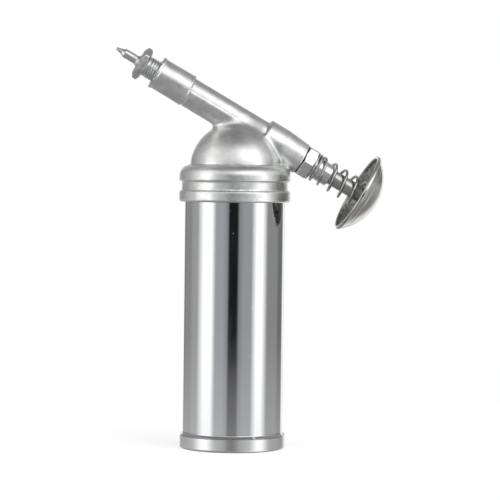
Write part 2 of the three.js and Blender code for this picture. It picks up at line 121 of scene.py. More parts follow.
# Each card's first and last angle from the camera's side, positive to the right, its brightness and tint.
low_cards = [
    (-180, -175, 0.30, grey_tint),
    (-170, -162, 1.30, grey_tint),
    (-155, -148, 0.24, grey_tint),
    (-142, -120, 0.36, grey_tint),
    (-105, -92, 0.50, grey_tint),
    (-72, -53, 1.75, grey_tint),
    (-42, -25, 0.52, cool_tint),
    (-17, -15, 0.40, cool_tint),
    (-10, 8, 0.016, grey_tint),
    (13, 15, 0.36, cool_tint),
    (23, 41, 0.47, cool_tint),
    (55, 68, 1.75, grey_tint),
    (84, 117, 0.37, grey_tint),
    (127, 145, 0.22, grey_tint),
    (155, 163, 1.30, grey_tint),
    (172, 180, 0.30, grey_tint),
]
high_cards = [
    (-180, -165, 0.55, grey_tint),
    (-150, -125, 0.36, grey_tint),
    (-100, -94, 0.60, grey_tint),
    (-78, -60, 1.25, grey_tint),
    (-45, -25, 0.85, grey_tint),
    (-8, 8, 1.10, grey_tint),
    (20, 62, 1.75, grey_tint),
    (80, 86, 0.90, grey_tint),
    (102, 110, 0.58, grey_tint),
    (125, 150, 0.38, grey_tint),
    (165, 180, 0.55, grey_tint),
]
floor_cards = [
    (-180, -176, 0.50, grey_tint),
    (-160, -150, 0.36, grey_tint),
    (-110, -80, 0.48, grey_tint),
    (-40, 10, 0.34, grey_tint),
    (52, 80, 1.30, grey_tint),
    (100, 136, 0.32, grey_tint),
    (150, 170, 1.05, warm_tint),
    (178, 180, 0.50, grey_tint),
]
ceiling_grey = (0.25, 0.25, 0.25, 1)
shadow_grey = (0.31, 0.31, 0.31, 1)  # the floor in the gun's own shade
floor_shine = 0.66  # how much of the cards the floor in front of them shows


def sine(degrees):
    return math.sin(math.radians(degrees))


# The heights between which one part of the studio runs into the next, as seen from the gun.
low_to_high_row = (sine(6), sine(19))
high_row_to_ceiling = (sine(40), sine(64))
horizon = (sine(-6.6), sine(-3.9))
shiny_to_plain_floor = (sine(-26), sine(-9))
own_shade_to_floor = (sine(-60), sine(-34))


def row_of_cards(tree, way_round, cards):
    """The colours of a row of cards all round, each card run softly into the next."""
    row = add_node(tree, "ShaderNodeValToRGB", {"Fac": way_round})
    stops = row.color_ramp.elements
    stops.remove(stops[1])
    for first_angle, last_angle, brightness, tint in cards:
        for angle in (first_angle, last_angle):
            at = angle / 360 + 0.5
            stop = stops[0] if at == 0 else stops.new(at)
            stop.color = (*(brightness * share for share in tint), 1)
    return row.outputs["Color"]


world = bpy.data.worlds.new("studio")
scene.world = world
world.use_nodes = True
sky = world.node_tree
sky.nodes.clear()
seen_way = add_node(sky, "ShaderNodeTexCoord").outputs["Generated"]
camera_first = (0, 0, math.radians(90) - camera_azimuth)
from_camera = add_node(sky, "ShaderNodeMapping", {"Vector": seen_way, "Rotation": camera_first})
facing = {"Vector": from_camera.outputs["Vector"]}
way_round = add_node(sky, "ShaderNodeTexGradient", facing, gradient_type="RADIAL").outputs["Fac"]
low_row = row_of_cards(sky, way_round, low_cards)
high_row = row_of_cards(sky, way_round, high_cards)
floor_row = row_of_cards(sky, way_round, floor_cards)
height = add_node(sky, "ShaderNodeSeparateXYZ", {"Vector": seen_way}).outputs["Z"]
walls = mix_colours(sky, map_range(sky, height, *low_to_high_row, 0, 1), low_row, high_row)
above = mix_colours(sky, map_range(sky, height, *high_row_to_ceiling, 0, 1), walls, ceiling_grey)
shiny_floor = mix_colours(sky, floor_shine, (1, 1, 1, 1), low_row)
near_floor = mix_colours(sky, map_range(sky, height, *horizon, 1, 0), above, shiny_floor)
floor_tone = mix_colours(sky, map_range(sky, height, *own_shade_to_floor, 1, 0), floor_row, shadow_grey)
all_round = mix_colours(sky, map_range(sky, height, *shiny_to_plain_floor, 1, 0), near_floor, floor_tone)
studio_light = add_node(sky, "ShaderNodeBackground", {"Color": all_round})
white_backdrop = add_node(sky, "ShaderNodeBackground", {"Color": (1, 1, 1, 1)})
straight_to_camera = add_node(sky, "ShaderNodeLightPath").outputs["Is Camera Ray"]
either = {0: straight_to_camera, 1: studio_light.outputs[0], 2: white_backdrop.outputs[0]}
seen_sky = add_node(sky, "ShaderNodeMixShader", either)
add_node(sky, "ShaderNodeOutputWorld", {"Surface": seen_sky.outputs[0]})

floor_radius = 220 * mm
floor_mesh = bpy.data.meshes.new("floor")
floor_edge = [
    (floor_radius * math.cos(math.radians(step)), floor_radius * math.sin(math.radians(step)), 0)
    for step in range(0, 360, 6)
]
floor_mesh.from_pydata(floor_edge, [], [range(len(floor_edge))])
floor = bpy.data.objects.new("floor", floor_mesh)
scene.collection.objects.link(floor)
floor.visible_glossy = False
floor_paint = bpy.data.materials.new("floor_paint")
floor_paint.use_nodes = True
floor_shader = floor_paint.node_tree.nodes["Principled BSDF"]
floor_shader.inputs["Base Color"].default_value = (0.92, 0.92, 0.92, 1)
floor_shader.inputs["Roughness"].default_value = 0.9
floor_shader.inputs["Emission Color"].default_value = (1, 1, 1, 1)
floor_shader.inputs["Emission Strength"].default_value = 0.5  # lit from below, like a light table
floor_mesh.materials.append(floor_paint)


# ---- Barrel tube -------------------------------------------------------------
# A drawn steel tube, buffed and chromed. Its mouth is turned down and threaded for the head, and its foot is
# flared out over the edge of the bottom cap.
def rounded(corners, ring_shaped):
    """An outline's corners as plain points, with an arc at each corner that names a rounding."""
    outline = []
    for number, (radius, height, *rounding) in enumerate(corners):
        here = Vector((radius, height))
        if not rounding or (not ring_shaped and number in (0, len(corners) - 1)):
            outline.append(here)
            continue
        back = Vector(corners[number - 1][:2]) - here
        on = Vector(corners[(number + 1) % len(corners)][:2]) - here
        half = back.angle(on) / 2
        reach = min(rounding[0] / math.tan(half), 0.49 * back.length, 0.49 * on.length)
        centre = here + (back.normalized() + on.normalized()).normalized() * reach / math.cos(half)
        start = here + back.normalized() * reach - centre
        end = here + on.normalized() * reach - centre
        sweep = math.atan2(start.x * end.y - start.y * end.x, start.dot(end))
        steps = max(2, round(abs(math.degrees(sweep)) / 15))
        outline += [centre + Matrix.Rotation(sweep * i / steps, 2) @ start for i in range(steps + 1)]
    return outline


def arc(centre_radius, centre_height, radius, first_angle, last_angle, steps):
    """Corners on an arc, from one angle to another in degrees."""
    angles = [math.radians(first_angle + (last_angle - first_angle) * i / steps) for i in range(steps + 1)]
    return [(centre_radius + radius * math.cos(a), centre_height + radius * math.sin(a)) for a in angles]


def finer(outline, longest):
    """The outline with no step longer than this."""
    fine = []
    for here, after in zip(outline, outline[1:]):
        pieces = max(1, math.ceil((after - here).length / longest))
        fine += [here.lerp(after, i / pieces) for i in range(pieces)]
    return fine + [outline[-1]]


def with_edge_rings(outline, ring_shaped):
    """The outline with a point near both ends of each long wall, which keeps the shine on it straight."""
    nearby = 0.15 * mm
    lined = []
    for here, after in zip(outline, outline[1:] + outline[:1] * ring_shaped):
        lined.append(here)
        length = (after - here).length
        if length > 8 * nearby:
            lined += [here.lerp(after, nearby / length), after.lerp(here, nearby / length)]
    return lined if ring_shaped else lined + outline[-1:]


def turned(name, corners, place=Matrix(), across_flats=None, turn=0.0, around=144):
    """A closed body turned about Z and then placed. Its corners are (radius, height) or (radius, height,
    rounding), anticlockwise. Where it is wider than a hexagon across flats, it is cut down to that."""
    ring_shaped = corners[0][0] > 0
    outline = with_edge_rings(rounded(corners, ring_shaped), ring_shaped)
    if across_flats:
        outline = finer(outline, 0.25 * mm)
    knocked_off_corner = 0.985

    def reach(radius, angle):
        if not across_flats:
            return radius
        from_flat = angle % (math.pi / 3) - math.pi / 6
        corner = across_flats / math.sqrt(3) * knocked_off_corner
        return min(radius, across_flats / 2 / math.cos(from_flat), corner)

    points = []
    firsts = []
    for radius, height in outline:
        firsts.append(len(points))
        for step in range(around if radius > 0 else 1):
            angle = 2 * math.pi * step / around
            far = reach(radius, angle)
            points.append((far * math.cos(angle + turn), far * math.sin(angle + turn), height))

    def point(ring, step):
        return firsts[ring] + (step % around if outline[ring].x > 0 else 0)

    faces = []
    for ring in range(len(outline) - (not ring_shaped)):
        above = (ring + 1) % len(outline)
        for step in range(around):
            face = [point(ring, step), point(ring, step + 1), point(above, step + 1), point(above, step)]
            face = list(dict.fromkeys(face))
            if len(face) > 2:
                faces.append(face)
    mesh = bpy.data.meshes.new(name)
    mesh.from_pydata(points, [], faces)
    mesh.transform(place)
    piece = bpy.data.objects.new(name, smoothed(mesh))
    scene.collection.objects.link(piece)
    return piece


def smoothed(mesh):
    """The mesh, shaded smooth but for its edges."""
    sharp_edge = math.radians(33)
    mesh.shade_smooth()
    mesh.set_sharp_from_angle(angle=sharp_edge)
    return mesh


def settled(piece):
    """The piece's modifiers turned into plain mesh."""
    bpy.context.view_layer.update()
    finished = piece.evaluated_get(bpy.context.evaluated_depsgraph_get())
    mesh = bpy.data.meshes.new_from_object(finished)
    piece.modifiers.clear()
    piece.data = mesh


def coated(piece, material):
    """The piece in one finish all over."""
    piece.data.materials.clear()
    piece.data.materials.append(material)
    piece.data.polygons.foreach_set("material_index", [0] * len(piece.data.polygons))


def worked(piece, operation, tool):
    """The piece joined with a second body (UNION) or cut by it (DIFFERENCE)."""
    step = piece.modifiers.new("work", "BOOLEAN")
    step.operation = operation
    step.solver = "MANIFOLD"
    step.object = tool
    settled(piece)
    bpy.data.objects.remove(tool)
    smoothed(piece.data)


def worked_out(tree, operation, *values):
    """The result of a sum on these values."""
    return add_node(tree, "ShaderNodeMath", enumerate(values), operation=operation).outputs[0]


def helix_line(tree, radius, turns, steps, height):
    """Nodes for a line that winds about Z, from the number of turns, steps and the height at each turn."""
    straight = add_node(tree, "GeometryNodeCurvePrimitiveLine").outputs["Curve"]
    line = add_node(tree, "GeometryNodeResampleCurve", {"Curve": straight, "Count": steps}, mode="COUNT")
    way = add_node(tree, "GeometryNodeSplineParameter").outputs["Factor"]
    turn = worked_out(tree, "MULTIPLY", way, turns)
    angle = worked_out(tree, "MULTIPLY", turn, math.tau)
    x = worked_out(tree, "MULTIPLY", worked_out(tree, "COSINE", angle), radius)
    y = worked_out(tree, "MULTIPLY", worked_out(tree, "SINE", angle), radius)
    spot = add_node(tree, "ShaderNodeCombineXYZ", {"X": x, "Y": y, "Z": height(turn)})
    places = {"Geometry": line.outputs["Curve"], "Position": spot.outputs["Vector"]}
    wound = add_node(tree, "GeometryNodeSetPosition", places).outputs["Geometry"]
    return add_node(tree, "GeometryNodeSetCurveNormal", {"Curve": wound}, mode="Z_UP").outputs["Curve"], way


def new_tree(name, sizes, counts=()):
    """An empty Geometry Nodes tree, with an input for each size, count and for the finish."""
    tree = bpy.data.node_groups.new(name, "GeometryNodeTree")
    for size in sizes:
        tree.interface.new_socket(size, in_out="INPUT", socket_type="NodeSocketFloat")
    for count in counts:
        tree.interface.new_socket(count, in_out="INPUT", socket_type="NodeSocketInt")
    tree.interface.new_socket("Finish", in_out="INPUT", socket_type="NodeSocketMaterial")
    tree.interface.new_socket("Piece", in_out="OUTPUT", socket_type="NodeSocketGeometry")
    return tree, tree.nodes.new("NodeGroupInput").outputs


def end_tree(tree, geometry, material):
    """The last nodes of a tree: real mesh, shaded smooth, in its finish."""
    smooth = add_node(tree, "GeometryNodeSetShadeSmooth", {"Geometry": geometry})
    real = add_node(tree, "GeometryNodeRealizeInstances", {"Geometry": smooth.outputs["Geometry"]})
    surface = {"Geometry": real.outputs["Geometry"], "Material": material}
    finished = add_node(tree, "GeometryNodeSetMaterial", surface)
    add_node(tree, "NodeGroupOutput", {"Piece": finished.outputs["Geometry"]})


def grown(name, tree, place=Matrix(), **inputs):
    """The plain mesh object that a tree makes from these inputs, placed."""
    seed = bpy.data.objects.new(name, bpy.data.meshes.new(name))
    scene.collection.objects.link(seed)
    growth = seed.modifiers.new(name, "NODES")
    growth.node_group = tree
    for socket in tree.interface.items_tree:
        if socket.in_out == "INPUT":
            growth[socket.identifier] = inputs[socket.name.lower()]
    settled(seed)
    seed.data.transform(place)
    return seed


def thread_tree():
    """A screw thread's ridge: one V-shaped rib wound at an even pitch, dying out at both ends."""
    tree, size = new_tree("screw_thread", ("Core", "Depth", "Pitch", "Length"), ("Steps",))
    turns = worked_out(tree, "DIVIDE", size["Length"], size["Pitch"])

    def height(turn):
        return worked_out(tree, "MULTIPLY", turn, size["Pitch"])

    line, way = helix_line(tree, size["Core"], turns, size["Steps"], height)
    rib_width = 0.46  # half a rib over the pitch
    root_sink = -0.3  # how far the rib's back lies inside the core, over its depth
    half = worked_out(tree, "MULTIPLY", size["Pitch"], rib_width)
    other_half = worked_out(tree, "MULTIPLY", half, -1)
    back = worked_out(tree, "MULTIPLY", size["Depth"], root_sink)
    corners = {}
    for number, (out, up) in enumerate(((size["Depth"], 0), (back, half), (back, 0), (back, other_half))):
        corner = add_node(tree, "ShaderNodeCombineXYZ", {"X": out, "Y": up}).outputs["Vector"]
        corners[f"Point {number + 1}"] = corner
    rib = add_node(tree, "GeometryNodeCurvePrimitiveQuadrilateral", corners, mode="POINTS")
    run_out = 0.06  # the share of the thread over which it dies out at each end
    last_size = 0.15  # what is left of the rib at its very end
    rise = map_range(tree, way, 0, run_out, last_size, 1)
    fall = map_range(tree, way, 1 - run_out, 1, 1, last_size)
    taper = worked_out(tree, "MULTIPLY", rise, fall)
    sweep = {"Curve": line, "Profile Curve": rib.outputs["Curve"], "Scale": taper, "Fill Caps": True}
    end_tree(tree, add_node(tree, "GeometryNodeCurveToMesh", sweep).outputs["Mesh"], size["Finish"])
    return tree


def finish(name, colour, roughness, metallic=1.0, place=Matrix()):
    """A material, its node tree, its shader, and the place that its patterns read, with Z on the axis."""
    material = bpy.data.materials.new(name)
    material.use_nodes = True
    tree = material.node_tree
    shader = tree.nodes["Principled BSDF"]
    shader.inputs["Base Color"].default_value = (*colour, 1)
    shader.inputs["Roughness"].default_value = roughness
    shader.inputs["Metallic"].default_value = metallic
    spot = add_node(tree, "ShaderNodeTexCoord").outputs["Object"]
    back = place.inverted()
    turned_back = {"Vector": spot, "Rotation": back.to_euler(), "Location": back.to_translation()}
    return material, tree, shader, add_node(tree, "ShaderNodeMapping", turned_back).outputs["Vector"]


def noise(tree, spot, size, detail=2.0, stretch=None):
    """Cloudy noise with marks of about this size, stretched along an axis if asked."""
    if stretch:
        spot = add_node(tree, "ShaderNodeMapping", {"Vector": spot, "Scale": stretch}).outputs["Vector"]
    marks = {"Vector": spot, "Scale": 1 / size, "Detail": detail}
    return add_node(tree, "ShaderNodeTexNoise", marks).outputs["Fac"]


def round_the_axis(tree, spot):
    """One number that is the same all round the axis: the height with most of the radius added."""
    flat = add_node(tree, "ShaderNodeVectorMath", {0: spot, 1: (1, 1, 0)}, operation="MULTIPLY")
    radius = add_node(tree, "ShaderNodeVectorMath", {0: flat.outputs[0]}, operation="LENGTH")
    height = add_node(tree, "ShaderNodeSeparateXYZ", {"Vector": spot}).outputs["Z"]
    return worked_out(tree, "MULTIPLY_ADD", radius.outputs["Value"], 0.8, height)


def turning_lines(tree, spot, spacing):
    """The fine lines that a lathe or a polishing wheel leaves round the axis."""
    marks = {"W": round_the_axis(tree, spot), "Scale": 1 / spacing, "Detail": 3.0}
    return add_node(tree, "ShaderNodeTexNoise", marks, noise_dimensions="1D").outputs["Fac"]


def rough(tree, shader, pattern, smoothest, roughest, low=0.3, high=0.7):
    """The shader's roughness, from a pattern that runs from low to high."""
    spread = map_range(tree, pattern, low, high, smoothest, roughest)
    tree.links.new(spread, shader.inputs["Roughness"])


def raised(tree, shader, pattern, height):
    """The pattern as relief of this height, on top of any relief that the shader has already."""
    relief = add_node(tree, "ShaderNodeBump", {"Height": pattern, "Distance": height, "Strength": 1.0})
    before = shader.inputs["Normal"].links
    if before:
        tree.links.new(before[0].from_socket, relief.inputs["Normal"])
    tree.links.new(relief.outputs["Normal"], shader.inputs["Normal"])


def coloured(tree, shader, pattern, first, second, low=0.35, high=0.65):
    """The shader's colour, from a pattern that runs from low to high."""
    share = map_range(tree, pattern, low, high, 0, 1)
    tree.links.new(mix_colours(tree, share, (*first, 1), (*second, 1)), shader.inputs["Base Color"])


def bright_chrome(name, place=Matrix()):
    """Buffed chrome plate: nearly a mirror, with the tube's slight waves under it and a few specks on it."""
    material, tree, shader, spot = finish(name, (0.62, 0.625, 0.63), 0.05, place=place)
    specks = map_range(tree, noise(tree, spot, 1.1 * mm, 0.0), 0.80, 0.83, 0, 1)
    buffing = noise(tree, spot, 1.6 * mm, 3.0, stretch=(1, 1, 0.12))
    rough(tree, shader, worked_out(tree, "ADD", buffing, specks), 0.03, 0.22, high=1.6)
    raised(tree, shader, noise(tree, spot, 16 * mm, 1.0), 16e-6)
    raised(tree, shader, specks, 8e-6)
    return material


seat_gap = 0.1 * mm  # between two pieces that bear on each other
plain_end = 0.7  # how much of a pitch is left plain at each end of a thread
barrel_radius = 20 * mm
barrel_bore = 19 * mm
flare_height = 0.9 * mm
flare_lip = 0.08 * mm
thread_core = 19.2 * mm
thread_depth = 0.4 * mm
thread_pitch = 1.5 * mm
thread_length = 8.6 * mm

barrel_low, barrel_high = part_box("barrel_tube")
flare_radius = barrel_high.x
cap_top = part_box("bottom_cap")[1].z
flare_foot = cap_top + seat_gap
thread_foot = barrel_high.z - thread_length
threads = thread_tree()
barrel_chrome = bright_chrome("barrel_chrome")
chromed_barrel = turned(
    "chromed_barrel",
    [
        (barrel_bore, barrel_low.z),
        (barrel_radius, barrel_low.z, 0.2 * mm),
        (barrel_radius, flare_foot),
        (flare_radius, flare_foot, 0.05 * mm),
        (flare_radius, flare_foot + flare_lip, 0.03 * mm),
        (barrel_radius, flare_foot + flare_height, 0.6 * mm),
        (barrel_radius, thread_foot, 0.15 * mm),
        (thread_core, thread_foot + 0.5 * mm, 0.1 * mm),
        (thread_core, barrel_high.z, 0.15 * mm),
        (barrel_bore, barrel_high.z, 0.15 * mm),
    ],
    around=192,
)
barrel_thread = grown(
    "barrel_thread",
    threads,
    Matrix.Translation((0, 0, thread_foot + thread_pitch * plain_end)),
    core=thread_core,
    depth=thread_depth,
    pitch=thread_pitch,
    length=thread_length - 2 * plain_end * thread_pitch,
    steps=480,
    finish=barrel_chrome,
)
worked(chromed_barrel, "UNION", barrel_thread)
coated(chromed_barrel, barrel_chrome)
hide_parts("barrel_tube")
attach(chromed_barrel, "barrel")


# ---- Bottom cap --------------------------------------------------------------
# A shallow cup pressed from steel sheet and left satin, pushed over the barrel's foot. A small vent beside
# its middle lets air in behind the follower.
def satin_steel(name, place=Matrix()):
    """Steel polished with a fine belt: soft reflections and faint lines round the axis."""
    material, tree, shader, spot = finish(name, (0.72, 0.72, 0.705), 0.25, place=place)
    rough(tree, shader, noise(tree, spot, 2.2 * mm, 3.0), 0.23, 0.28)
    raised(tree, shader, turning_lines(tree, spot, 0.5 * mm), 0.7e-6)
    return material


vent_radius = 1.25 * mm
vent_offset = 11 * mm
cap_floor = 1 * mm
cap_corner = 0.9 * mm
cap_chamfer = 0.3 * mm

cap_low, cap_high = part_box("bottom_cap")
cap_bore = flare_radius - 0.9 * mm
pressed_cap = turned(
    "pressed_cap",
    [
        (0, cap_low.z),
        (cap_high.x - 4 * mm, cap_low.z, 3 * mm),
        (cap_high.x, cap_low.z, cap_corner),
        (cap_high.x, cap_high.z - cap_chamfer, 0.1 * mm),
        (cap_high.x - cap_chamfer, cap_high.z, 0.1 * mm),
        (cap_bore, cap_high.z, 0.2 * mm),
        (cap_bore, cap_low.z + cap_floor, 0.4 * mm),
        (0, cap_low.z + cap_floor),
    ],
    around=192,
)
vent_drill = turned(
    "vent_drill",
    [(0, -cap_floor), (vent_radius, -cap_floor), (vent_radius, 2 * cap_floor), (0, 2 * cap_floor)],
    Matrix.Translation((vent_offset, 0, cap_low.z)),
    around=32,
)
worked(pressed_cap, "DIFFERENCE", vent_drill)
coated(pressed_cap, satin_steel("cap_steel"))
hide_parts("bottom_cap")
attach(pressed_cap, "barrel")


# ---- Follower spring ---------------------------------------------------------
# A long spring of hard-drawn wire with closed ends. It stands on the cap's floor, loose in the barrel, and
# pushes the follower up.
def spring_tree():
    """A compression spring about Z: round wire, closed coils at both ends and an even pitch between them."""
    tree, size = new_tree("coil_spring", ("Radius", "Wire", "Length", "Coils"), ("Steps", "Sides"))
    turns = worked_out(tree, "ADD", size["Coils"], 2.0)
    closed_coil = 1.04  # a closed coil's rise over the wire's thickness
    rise = worked_out(tree, "MULTIPLY", size["Wire"], closed_coil)
    half_wire = worked_out(tree, "MULTIPLY", size["Wire"], 0.5)
    open_length = worked_out(tree, "MULTIPLY_ADD", size["Wire"], -1 - 2 * closed_coil, size["Length"])
    last_turn = worked_out(tree, "ADD", size["Coils"], 1.0)

    def height(turn):
        total = half_wire
        for start, end, climb in ((0, 1, rise), (1, last_turn, open_length), (last_turn, turns, rise)):
            total = worked_out(tree, "ADD", total, map_range(tree, turn, start, end, 0, climb))
        return total

    line, _ = helix_line(tree, size["Radius"], turns, size["Steps"], height)
    roundness = {"Resolution": size["Sides"], "Radius": half_wire}
    wire = add_node(tree, "GeometryNodeCurvePrimitiveCircle", roundness, mode="RADIUS")
    sweep = {"Curve": line, "Profile Curve": wire.outputs["Curve"], "Fill Caps": True}
    end_tree(tree, add_node(tree, "GeometryNodeCurveToMesh", sweep).outputs["Mesh"], size["Finish"])
    return tree


def drawn_wire(name, place=Matrix()):
    """Hard-drawn spring wire: bright, a little brown, with faint streaks."""
    material, tree, shader, spot = finish(name, (0.56, 0.55, 0.53), 0.22, place=place)
    coloured(tree, shader, noise(tree, spot, 3 * mm), (0.46, 0.45, 0.43), (0.66, 0.65, 0.63))
    streaks = noise(tree, spot, 0.35 * mm, 3.0, stretch=(1, 1, 4))
    rough(tree, shader, streaks, 0.14, 0.3)
    raised(tree, shader, streaks, 3e-6)
    return material


def box_along(node, place):
    """A CAD node's lowest and highest corners measured in a placed frame."""
    back = np.array(place.inverted())
    points = np.array([vertex.co for vertex in frame["nodes"][node].data.vertices])
    placed = points @ back[:3, :3].T + back[:3, 3]
    return Vector(placed.min(axis=0)), Vector(placed.max(axis=0))


def spring_in(name, node, place, start_angle, wire, coils, steps_per_turn, sides, material):
    """A spring as long and wide as its CAD node, on the placed Z axis, with its first end at this angle."""
    low, high = box_along(node, place)
    radius = (high.y - low.y) / 2 - wire / 2
    return grown(
        name,
        springs,
        place @ Matrix.Translation((0, 0, low.z)) @ Matrix.Rotation(start_angle, 4, "Z"),
        radius=radius,
        wire=wire,
        length=high.z - low.z,
        coils=coils,
        steps=round((coils + 2) * steps_per_turn),
        sides=sides,
        finish=material,
    )


def joint_named(name):
    return next(joint for joint in frame["joints"] if joint["name"] == name)


follower_wire = 1.4 * mm
follower_coils = 8
springs = spring_tree()
upright = Matrix()
long_wire = drawn_wire("long_wire")
long_spring = spring_in(
    "long_spring", "follower_spring", upright, 0, follower_wire, follower_coils, 48, 14, long_wire
)
follower_travel = max(abs(limit) for limit in joint_named("follower_slide")["range_m"])
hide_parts("follower_spring")
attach(long_spring, "barrel")
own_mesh(long_spring)


# ---- Follower ----------------------------------------------------------------
# The plate that the spring pushes on, a moulded rubber cup that wipes the barrel and keeps the grease above
# it, and the rivet that is headed over to hold the two together.
def bright_steel(name, place=Matrix()):
    """Steel turned bright: tool lines round the axis, and a few darker patches from handling."""
    material, tree, shader, spot = finish(name, (0.64, 0.64, 0.63), 0.3, place=place)
    coloured(tree, shader, noise(tree, spot, 4 * mm), (0.56, 0.56, 0.55), (0.70, 0.70, 0.69))
    rough(tree, shader, noise(tree, spot, 1.5 * mm, 3.0), 0.24, 0.38)
    raised(tree, shader, turning_lines(tree, spot, 0.4 * mm), 0.8e-6)
    return material


def moulded_rubber(name, place=Matrix()):
    """Black nitrile rubber: dull, with a fine grain from its mould and a trace of grease."""
    material, tree, shader, spot = finish(name, (0.022, 0.022, 0.024), 0.6, 0.0, place)
    rough(tree, shader, noise(tree, spot, 2.5 * mm, 3.0), 0.35, 0.75)
    raised(tree, shader, noise(tree, spot, 0.2 * mm), 5e-6)
    return material


plate_dish = 0.35 * mm
dish_inner = 6 * mm
dish_outer = 12 * mm
dish_slope = 1 * mm
rivet_shank = 2 * mm
rivet_hole = 2.1 * mm
rivet_dome = 1.2 * mm
cup_lip_thickness = 0.8 * mm
cup_wall = 1.6 * mm
cup_floor = 2.5 * mm
waist_depth = 0.35 * mm  # a shallow groove round the cup, between the two rings that wipe the barrel

plate_low, plate_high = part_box("follower_plate")
pressed_plate = turned(
    "pressed_plate",
    [
        (rivet_hole, plate_low.z),
        (dish_inner, plate_low.z, dish_slope),
        (dish_inner + dish_slope, plate_low.z + plate_dish, dish_slope),
        (dish_outer - dish_slope, plate_low.z + plate_dish, dish_slope),
        (dish_outer, plate_low.z, dish_slope),
        (plate_high.x, plate_low.z, 0.25 * mm),
        (plate_high.x, plate_high.z, 0.25 * mm),
        (rivet_hole, plate_high.z),
    ],
)
coated(pressed_plate, bright_steel("plate_steel"))
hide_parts("follower_plate")
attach(pressed_plate, "follower")

cup_low, cup_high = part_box("follower_cup")
cup_inside = cup_low.z + cup_floor
moulded_cup = turned(
    "moulded_cup",
    [
        (rivet_hole, cup_low.z),
        (cup_high.x - cup_wall, cup_low.z, 0.8 * mm),
        (cup_high.x, cup_low.z + cup_wall, 0.8 * mm),
        (cup_high.x, cup_low.z + 3.2 * mm, 0.3 * mm),
        (cup_high.x - waist_depth, cup_low.z + 3.6 * mm, 0.4 * mm),
        (cup_high.x - waist_depth, cup_low.z + 5.2 * mm, 0.4 * mm),
        (cup_high.x, cup_high.z - 0.6 * mm, 0.3 * mm),
        (cup_high.x, cup_high.z, 0.25 * mm),
        (cup_high.x - cup_lip_thickness, cup_high.z, 0.2 * mm),
        (cup_high.x - cup_wall, cup_inside + cup_wall, 1.2 * mm),
        (cup_high.x - 2 * cup_wall, cup_inside, 0.8 * mm),
        (rivet_hole, cup_inside),
    ],
)
coated(moulded_cup, moulded_rubber("cup_rubber"))
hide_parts("follower_cup")
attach(moulded_cup, "follower")

rivet_low, rivet_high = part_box("follower_rivet")
headed_rivet = turned(
    "headed_rivet",
    [
        (0, rivet_low.z),
        (rivet_high.x * 0.75, rivet_low.z, 0.8 * mm),
        (rivet_high.x, rivet_low.z + rivet_dome, 0.2 * mm),
        (rivet_shank, rivet_low.z + rivet_dome),
        (rivet_shank, rivet_high.z - rivet_dome),
        (rivet_high.x, rivet_high.z - rivet_dome, 0.2 * mm),
        (rivet_high.x * 0.75, rivet_high.z, 0.8 * mm),
        (0, rivet_high.z),
    ],
    around=64,
)
coated(headed_rivet, bright_steel("rivet_steel"))
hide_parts("follower_rivet")
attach(headed_rivet, "follower")


# ---- Barrel gasket -----------------------------------------------------------
# A flat rubber ring that the barrel's mouth is screwed up against. It stays in its seat in the head.
def flat_ring(name, inner, low, high, inner_round, outer_round, **placing):
    """A flat ring as wide and as thick as its CAD node, from the node's two corners in its own frame."""
    outline = [
        (inner, low.z, inner_round),
        (high.y, low.z, outer_round),
        (high.y, high.z, outer_round),
        (inner, high.z, inner_round),
    ]
    return turned(name, outline, **placing)


gasket_low, gasket_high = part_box("barrel_gasket")
gasket_bore = gasket_high.y - 2.1 * mm
flat_gasket = flat_ring("flat_gasket", gasket_bore, gasket_low, gasket_high, 0.3 * mm, 0.3 * mm)
coated(flat_gasket, moulded_rubber("gasket_rubber"))
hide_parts("barrel_gasket")
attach(flat_gasket, "gasket")


# ---- Head casting ------------------------------------------------------------
# One zinc die-casting, tumbled and left bare: the screwed collar with its two beads, the dome, and the
# slanted pump tube that grows out of it. The die's halves met along the tube's sides and left a fine step
# there. The socket, the bores and the collar's inside are machined.
def cast_zinc(name, place=Matrix()):
    """Tumbled die-cast zinc: softly bright and cloudy, with a fine grain, darker pits and shallow dents."""
    material, tree, shader, spot = finish(name, (0.78, 0.785, 0.77), 0.4, place=place)
    clouds = noise(tree, spot, 5 * mm, 4.0)
    grain = noise(tree, spot, 0.45 * mm, 4.0)
    clouded = map_range(tree, clouds, 0.34, 0.66, 0, 0.6)
    mottled = worked_out(tree, "MULTIPLY_ADD", grain, 0.8, clouded)
    coloured(tree, shader, mottled, (0.66, 0.67, 0.66), (0.86, 0.865, 0.85), high=1.05)
    rough(tree, shader, noise(tree, spot, 1.6 * mm, 4.0), 0.27, 0.39)
    raised(tree, shader, noise(tree, spot, 3.2 * mm, 2.0), 38e-6)
    raised(tree, shader, grain, 17e-6)
    pits = map_range(tree, noise(tree, spot, 0.45 * mm, 1.0), 0.28, 0.36, 0, 1)
    raised(tree, shader, pits, 9e-6)
    return material


pump_joint = joint_named("plunger_push")
towards_button = -Vector(pump_joint["axis"]).normalized()
sideways = Vector((0, 1, 0))
downwards = sideways.cross(towards_button)
washer_low, washer_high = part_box("spring_washer")
pump_axis = Matrix.Translation((washer_low + washer_high) / 2) @ Matrix(
    (downwards, sideways, towards_button)
).transposed().to_4x4()

